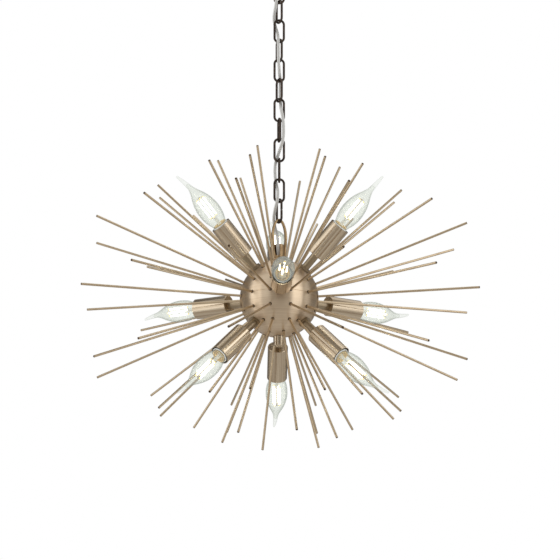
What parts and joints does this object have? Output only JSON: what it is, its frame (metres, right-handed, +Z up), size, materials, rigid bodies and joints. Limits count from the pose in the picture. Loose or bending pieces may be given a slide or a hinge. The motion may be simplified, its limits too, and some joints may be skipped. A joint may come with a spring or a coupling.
{
  "type": "pendant light",
  "caption": "Starburst pendant light: a metal ball with radial rods and candle bulbs in sleeves, hung by an oval-link chain and a woven clear flex from a ceiling rose",
  "frame": {"origin": "centre of the ceiling face of the rose, midway between the bracket's two screw holes", "axes": "+Z up into the ceiling, -Y towards the front lamp, +X along the bracket"},
  "size_m": [0.5938, 0.5938, 0.7853],
  "materials": {
    "satin_bronze": "satin brushed champagne bronze",
    "dark_bronze": "dark oiled bronze",
    "loop_brass": "satin aged brass",
    "zinc_steel": "zinc plated",
    "white_plastic": "moulded matt",
    "black_plastic": "moulded matt",
    "holder_plastic": "moulded matt",
    "lead_sheath": "smooth sheath",
    "clear_flex": "clear smooth sheath",
    "bulb_glass": "clear blown glass"
  },
  "bodies": {
    "rose": {"rose_cup": "satin_bronze", "ceiling_bracket": "zinc_steel", "rose_loop": "dark_bronze", "stem_nut": "zinc_steel", "terminal_block": "white_plastic", "cable_grommet": "black_plastic", "flex": "clear_flex"},
    "chain_link_12": {"link_12": "dark_bronze"},
    "chain_link_11": {"link_11": "dark_bronze"},
    "chain_link_10": {"link_10": "dark_bronze"},
    "chain_link_09": {"link_09": "dark_bronze"},
    "chain_link_08": {"link_08": "dark_bronze"},
    "chain_link_07": {"link_07": "dark_bronze"},
    "chain_link_06": {"link_06": "dark_bronze"},
    "chain_link_05": {"link_05": "dark_bronze"},
    "chain_link_04": {"link_04": "dark_bronze"},
    "chain_link_03": {"link_03": "dark_bronze"},
    "chain_link_02": {"link_02": "dark_bronze"},
    "chain_link_01": {"link_01": "dark_bronze"},
    "burst": {"upper_shell": "satin_bronze", "lower_shell": "satin_bronze", "loop_seat": "loop_brass", "top_loop": "loop_brass", "end_nut": "satin_bronze", "ball_pipe": "zinc_steel", "wire_junction": "white_plastic", "long_rods": "satin_bronze", "middle_rods": "satin_bronze", "short_rods": "satin_bronze", "rod_nuts": "zinc_steel", "lamp_arms": "satin_bronze", "arm_nuts": "dark_bronze", "lamp_leads": "lead_sheath", "sleeve_1": "satin_bronze", "sleeve_2": "satin_bronze", "sleeve_3": "satin_bronze", "sleeve_4": "satin_bronze", "sleeve_5": "satin_bronze", "sleeve_6": "satin_bronze", "sleeve_7": "satin_bronze", "sleeve_8": "satin_bronze", "sleeve_9": "satin_bronze", "lampholder_1": "holder_plastic", "lampholder_2": "holder_plastic", "lampholder_3": "holder_plastic", "lampholder_4": "holder_plastic", "lampholder_5": "holder_plastic", "lampholder_6": "holder_plastic", "lampholder_7": "holder_plastic", "lampholder_8": "holder_plastic", "lampholder_9": "holder_plastic"},
    "lamp_1": {"bulb_1": "bulb_glass"},
    "lamp_2": {"bulb_2": "bulb_glass"},
    "lamp_3": {"bulb_3": "bulb_glass"},
    "lamp_4": {"bulb_4": "bulb_glass"},
    "lamp_5": {"bulb_5": "bulb_glass"},
    "lamp_6": {"bulb_6": "bulb_glass"},
    "lamp_7": {"bulb_7": "bulb_glass"},
    "lamp_8": {"bulb_8": "bulb_glass"},
    "lamp_9": {"bulb_9": "bulb_glass"}
  },
  "joints": [
    {"name": "swing_12", "type": "hinge", "parent": "rose", "child": "chain_link_12", "pos_m": [0, 0, -0.052], "axis": [0, 1, 0], "range_deg": [-8, 8], "deforming": ["flex"]},
    {"name": "swing_11", "type": "hinge", "parent": "chain_link_12", "child": "chain_link_11", "pos_m": [0, 0, -0.0845], "axis": [1, 0, 0], "range_deg": [-8, 8], "deforming": ["flex"]},
    {"name": "swing_10", "type": "hinge", "parent": "chain_link_11", "child": "chain_link_10", "pos_m": [0, 0, -0.1173], "axis": [0.515, -0.8572, 0], "range_deg": [-8, 8], "deforming": ["flex"]},
    {"name": "swing_09", "type": "hinge", "parent": "chain_link_10", "child": "chain_link_09", "pos_m": [0, 0, -0.1501], "axis": [1, 0, 0], "range_deg": [-8, 8], "deforming": ["flex"]},
    {"name": "swing_08", "type": "hinge", "parent": "chain_link_09", "child": "chain_link_08", "pos_m": [0, 0, -0.1829], "axis": [0.515, -0.8572, 0], "range_deg": [-8, 8], "deforming": ["flex"]},
    {"name": "swing_07", "type": "hinge", "parent": "chain_link_08", "child": "chain_link_07", "pos_m": [0, 0, -0.2157], "axis": [1, 0, 0], "range_deg": [-8, 8], "deforming": ["flex"]},
    {"name": "swing_06", "type": "hinge", "parent": "chain_link_07", "child": "chain_link_06", "pos_m": [0, 0, -0.2485], "axis": [0.515, -0.8572, 0], "range_deg": [-8, 8], "deforming": ["flex"]},
    {"name": "swing_05", "type": "hinge", "parent": "chain_link_06", "child": "chain_link_05", "pos_m": [0, 0, -0.2813], "axis": [1, 0, 0], "range_deg": [-8, 8], "deforming": ["flex"]},
    {"name": "swing_04", "type": "hinge", "parent": "chain_link_05", "child": "chain_link_04", "pos_m": [0, 0, -0.3141], "axis": [0.1736, -0.9848, 0], "range_deg": [-8, 8], "deforming": ["flex"]},
    {"name": "swing_03", "type": "hinge", "parent": "chain_link_04", "child": "chain_link_03", "pos_m": [0, 0, -0.3469], "axis": [1, 0, 0], "range_deg": [-8, 8], "deforming": ["flex"]},
    {"name": "swing_02", "type": "hinge", "parent": "chain_link_03", "child": "chain_link_02", "pos_m": [0, 0, -0.3797], "axis": [0, -1, 0], "range_deg": [-8, 8], "deforming": ["flex"]},
    {"name": "swing_01", "type": "hinge", "parent": "chain_link_02", "child": "chain_link_01", "pos_m": [0, 0, -0.4125], "axis": [1, 0, 0], "range_deg": [-8, 8], "deforming": ["flex"]},
    {"name": "swing_ball", "type": "hinge", "parent": "chain_link_01", "child": "burst", "pos_m": [0, 0, -0.4453], "axis": [0.454, -0.891, 0], "range_deg": [-8, 8], "deforming": ["flex"]},
    {"name": "bulb_1_out", "type": "slide", "parent": "burst", "child": "lamp_1", "axis": [0, -1, 0], "range_m": [0, 0.03]},
    {"name": "bulb_2_out", "type": "slide", "parent": "burst", "child": "lamp_2", "axis": [0.866, 0.5, 0], "range_m": [0, 0.03]},
    {"name": "bulb_3_out", "type": "slide", "parent": "burst", "child": "lamp_3", "axis": [-0.866, 0.5, 0], "range_m": [0, 0.03]},
    {"name": "bulb_4_out", "type": "slide", "parent": "burst", "child": "lamp_4", "axis": [0.623, -0.3597, 0.6947], "range_m": [0, 0.03]},
    {"name": "bulb_5_out", "type": "slide", "parent": "burst", "child": "lamp_5", "axis": [0, 0.7193, 0.6947], "range_m": [0, 0.03]},
    {"name": "bulb_6_out", "type": "slide", "parent": "burst", "child": "lamp_6", "axis": [-0.623, -0.3597, 0.6947], "range_m": [0, 0.03]},
    {"name": "bulb_7_out", "type": "slide", "parent": "burst", "child": "lamp_7", "axis": [0.623, -0.3597, -0.6947], "range_m": [0, 0.03]},
    {"name": "bulb_8_out", "type": "slide", "parent": "burst", "child": "lamp_8", "axis": [0, 0.7193, -0.6947], "range_m": [0, 0.03]},
    {"name": "bulb_9_out", "type": "slide", "parent": "burst", "child": "lamp_9", "axis": [-0.623, -0.3597, -0.6947], "range_m": [0, 0.03]}
  ]
}
